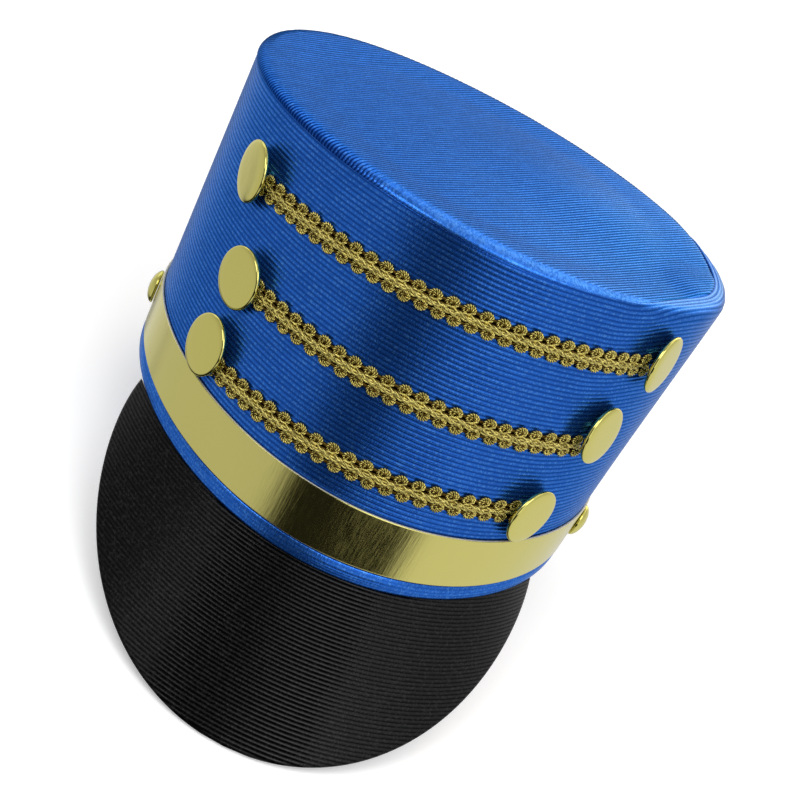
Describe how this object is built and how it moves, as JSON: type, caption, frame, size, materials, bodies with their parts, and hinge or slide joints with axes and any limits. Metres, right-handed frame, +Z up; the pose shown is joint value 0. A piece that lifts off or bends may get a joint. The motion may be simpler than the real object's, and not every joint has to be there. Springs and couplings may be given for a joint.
{
  "type": "costume soldier hat",
  "caption": "Low oval shako for dressing up: ribbed satin crown, arched peak, smooth gold band, gold gimp braids across the front and flat gold buttons at their ends.",
  "frame": {"origin": "under the middle of the hat's bounding box, on the surface that the hat rests on", "axes": "+Z up, the hat's front and peak face -Y; the hat stands tipped back on the tip of its peak and the back of its rim"},
  "size_m": [0.1944, 0.303, 0.1575],
  "materials": {
    "blue_satin": "blue ribbed satin, ribs running round the crown",
    "black_satin": "black ribbed satin, ribs running across the peak",
    "gold_foil": "mirror-bright gold coated strip",
    "gold_braid": "metallic gold gimp braid",
    "gold_button": "bright polished gold plating"
  },
  "bodies": {
    "root": {"crown_side": "blue_satin", "crown_top": "blue_satin", "gold_band": "gold_foil", "peak": "black_satin", "braid_upper": "gold_braid", "braid_middle": "gold_braid", "braid_lower": "gold_braid", "button_upper_left": "gold_button", "button_upper_right": "gold_button", "button_middle_left": "gold_button", "button_middle_right": "gold_button", "button_lower_left": "gold_button", "button_lower_right": "gold_button", "side_button_left": "gold_button", "side_button_right": "gold_button"}
  },
  "joints": []
}
